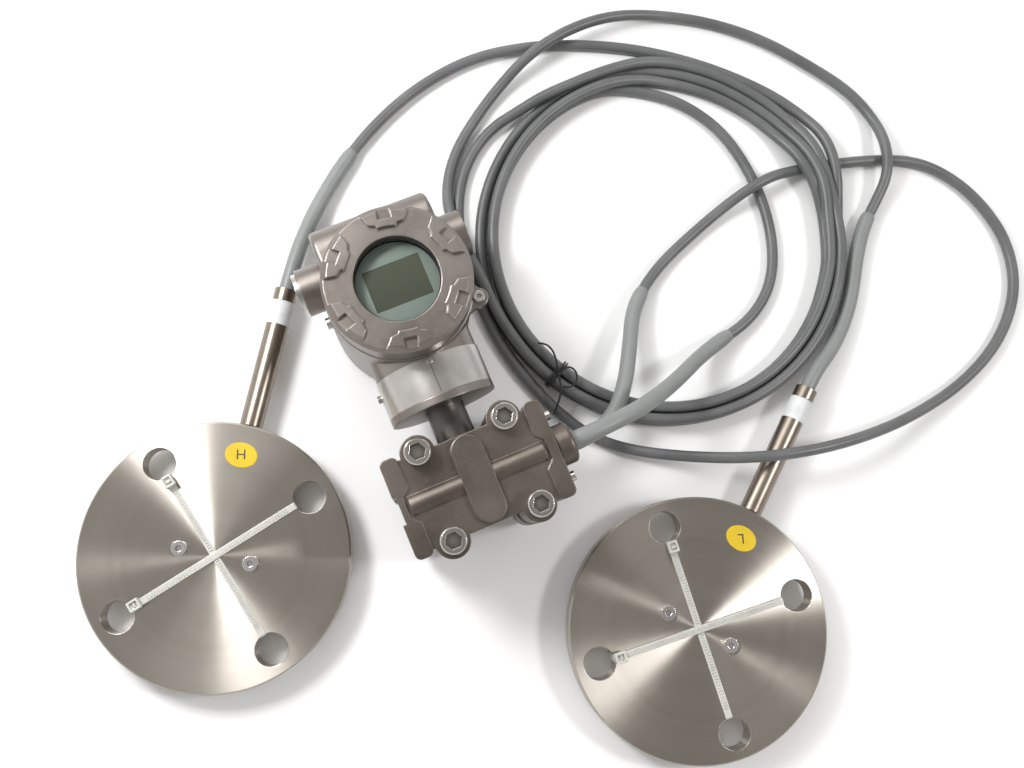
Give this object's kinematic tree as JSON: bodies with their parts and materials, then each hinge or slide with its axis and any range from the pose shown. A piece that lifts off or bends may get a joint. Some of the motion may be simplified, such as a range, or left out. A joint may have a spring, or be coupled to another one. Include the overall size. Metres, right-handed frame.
{
  "type": "differential pressure transmitter",
  "caption": "Differential pressure transmitter with a windowed housing on a two-flange cell, and two flanged remote seals on coiled armoured capillaries.",
  "frame": {"origin": "on the floor, at the middle of the rear cover's outer face, under the middle of the display", "axes": "+Z out of the display, away from the rear cover; +X out of the open conduit entry and out of the capillary outlets; -Y from the display down the neck to the measuring cell"},
  "size_m": [0.7192, 0.5408, 0.12],
  "materials": {
    "steel_casting": "bead-blasted stainless casting",
    "turned_steel": "fine turned, bright",
    "fastener_steel": "bright",
    "plate_steel": "smooth satin sheet",
    "tube_steel": "satin drawn tube",
    "diaphragm_steel": "thin rolled sheet",
    "brass": "plated",
    "seal_rubber": "matt black",
    "window": "clear, polished",
    "display_face": "matt printed",
    "display_panel": "glossy dark olive",
    "circuit_board": "solder mask",
    "terminal_plastic": "moulded black",
    "cap_plastic": "moulded polyethylene",
    "tie_nylon": "natural nylon",
    "marker_yellow": "printed film",
    "label_paper": "white film",
    "capillary_sheath": "dark grey sheath",
    "sleeve_sheath": "mid grey sleeve",
    "tie_wire": "black coated wire"
  },
  "bodies": {
    "measuring_cell": {"sensor_capsule": "tube_steel", "cell_diaphragms": "diaphragm_steel", "cell_seal_rings": "seal_rubber", "front_flange": "steel_casting", "rear_flange": "steel_casting", "flange_bolts": "fastener_steel", "flange_nuts": "fastener_steel", "front_adapter": "steel_casting", "rear_adapter": "steel_casting", "adapter_seals": "seal_rubber", "port_screws": "fastener_steel", "high_seal_flange": "turned_steel", "high_diaphragm": "diaphragm_steel", "high_protective_cap": "cap_plastic", "high_inner_cable_tie": "tie_nylon", "high_outer_cable_tie": "tie_nylon", "high_stem": "tube_steel", "high_sticker": "marker_yellow", "low_seal_flange": "turned_steel", "low_diaphragm": "diaphragm_steel", "low_protective_cap": "cap_plastic", "low_inner_cable_tie": "tie_nylon", "low_outer_cable_tie": "tie_nylon", "low_stem": "tube_steel", "low_sticker": "marker_yellow", "fill_screws": "fastener_steel", "stem_ferrules": "tube_steel", "stem_labels": "label_paper", "high_capillary_lead": "capillary_sheath", "high_capillary_tail": "capillary_sheath", "low_capillary_lead": "capillary_sheath", "low_capillary_tail": "capillary_sheath", "capillary_coil": "capillary_sheath", "high_lead_sleeve": "sleeve_sheath", "high_tail_sleeve": "sleeve_sheath", "low_lead_sleeve": "sleeve_sheath", "low_tail_sleeve": "sleeve_sheath", "coil_tie": "tie_wire"},
    "housing": {"housing_body": "steel_casting", "nameplate": "plate_steel", "nameplate_screw": "fastener_steel", "swivel_set_screw": "fastener_steel", "ground_screw": "fastener_steel", "cover_lock_screw": "fastener_steel", "conduit_plug": "fastener_steel", "display_module": "display_face", "lcd_panel": "display_panel", "display_screws": "fastener_steel", "main_circuit_board": "circuit_board", "terminal_block": "terminal_plastic", "terminal_screws": "brass", "terminal_block_screws": "fastener_steel"},
    "front_cover_ring": {"front_cover_oring": "seal_rubber"},
    "front_cover": {"front_cover": "steel_casting", "window_glass": "window", "window_gasket": "seal_rubber", "window_retainer": "fastener_steel"},
    "rear_cover_ring": {"rear_cover_oring": "seal_rubber"},
    "rear_cover": {"rear_cover": "steel_casting"}
  },
  "joints": [
    {"name": "housing_swivel", "type": "hinge", "parent": "measuring_cell", "child": "housing", "pos_m": [0, 0, 0.06], "axis": [0, 1, 0], "range_deg": [-180, 180]},
    {"name": "front_cover_travel", "type": "slide", "parent": "housing", "child": "front_cover_ring", "axis": [0, 0, 1], "range_m": [0, 0.012]},
    {"name": "front_cover_turn", "type": "hinge", "parent": "front_cover_ring", "child": "front_cover", "pos_m": [0, 0, 0.108], "axis": [0, 0, 1], "range_deg": [0, 2160]},
    {"name": "rear_cover_travel", "type": "slide", "parent": "housing", "child": "rear_cover_ring", "axis": [0, 0, -1], "range_m": [0, 0.012]},
    {"name": "rear_cover_turn", "type": "hinge", "parent": "rear_cover_ring", "child": "rear_cover", "pos_m": [0, 0, 0.012], "axis": [0, 0, -1], "range_deg": [0, 2160]}
  ],
  "couplings": [
    {"joint": "front_cover_travel", "follows": "front_cover_turn", "m_per_rad": 0.000318},
    {"joint": "rear_cover_travel", "follows": "rear_cover_turn", "m_per_rad": 0.000318}
  ]
}
